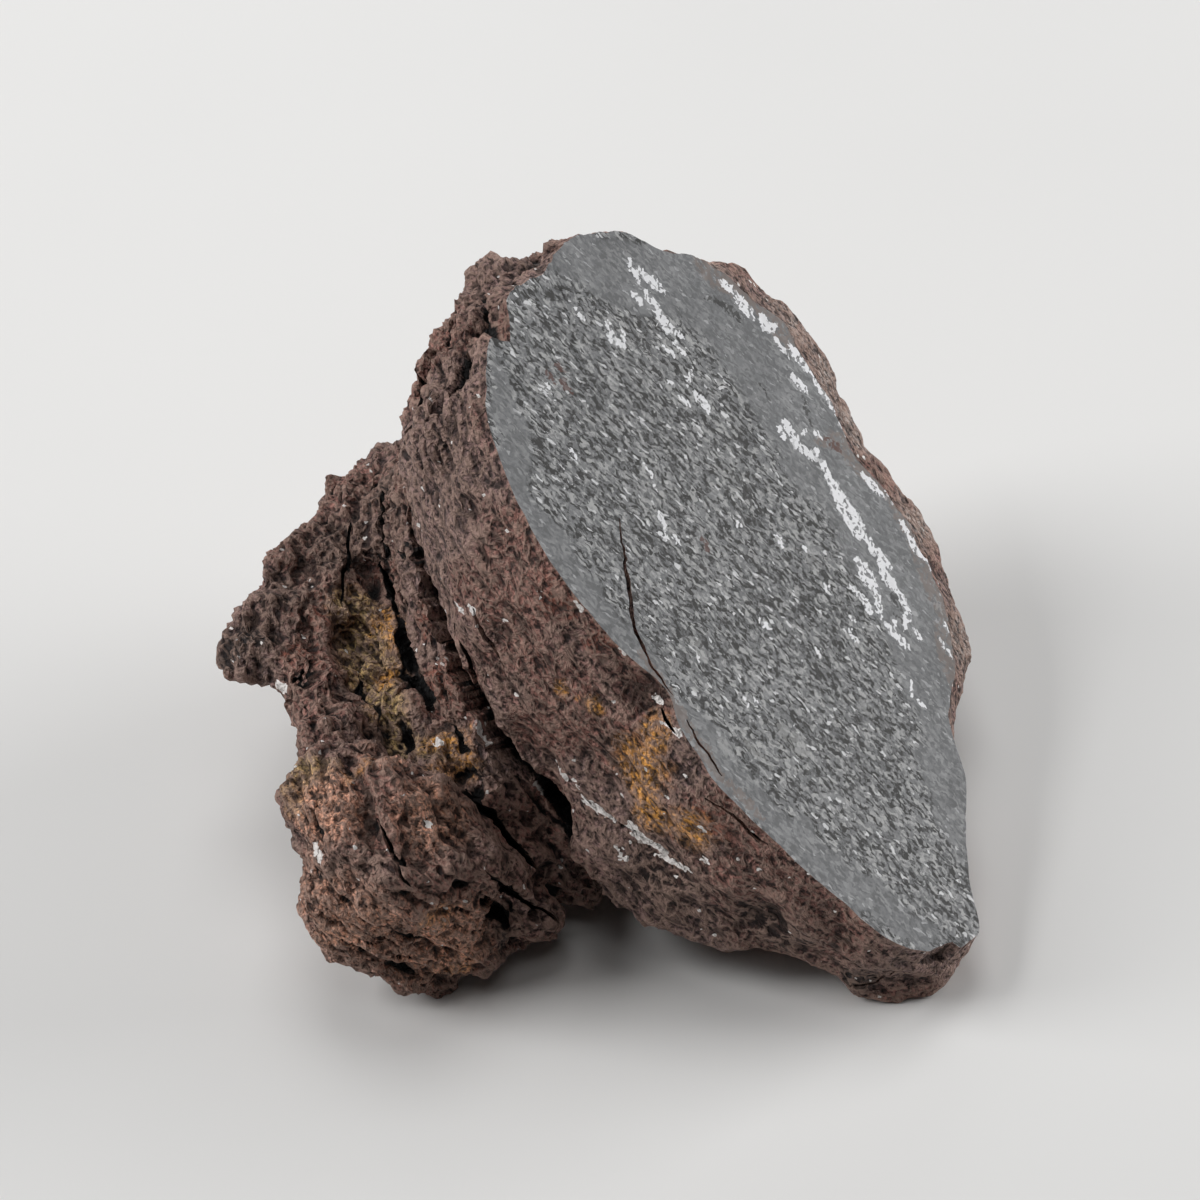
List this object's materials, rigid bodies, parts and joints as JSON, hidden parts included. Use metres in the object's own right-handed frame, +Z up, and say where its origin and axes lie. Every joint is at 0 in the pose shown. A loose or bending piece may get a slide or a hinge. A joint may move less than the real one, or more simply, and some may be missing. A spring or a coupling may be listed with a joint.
{
  "type": "meteorite end cut",
  "caption": "Lump of rusty stony-iron meteorite with one flat sawn face, layered and cracked behind it; lies tilted on small feet as a display stone.",
  "frame": {"origin": "middle of the stone's box at the floor that it rests on", "axes": "+Z up as the stone rests; +X to the right and +Y away, seen from the front, where the sawn face tilts up to the right"},
  "size_m": [0.0314, 0.0304, 0.0213],
  "materials": {
    "meteorite_stone": "rusted granular crust with one bare, finely ground grey sawn face"
  },
  "bodies": {
    "root": {"meteorite": "meteorite_stone"}
  },
  "joints": []
}
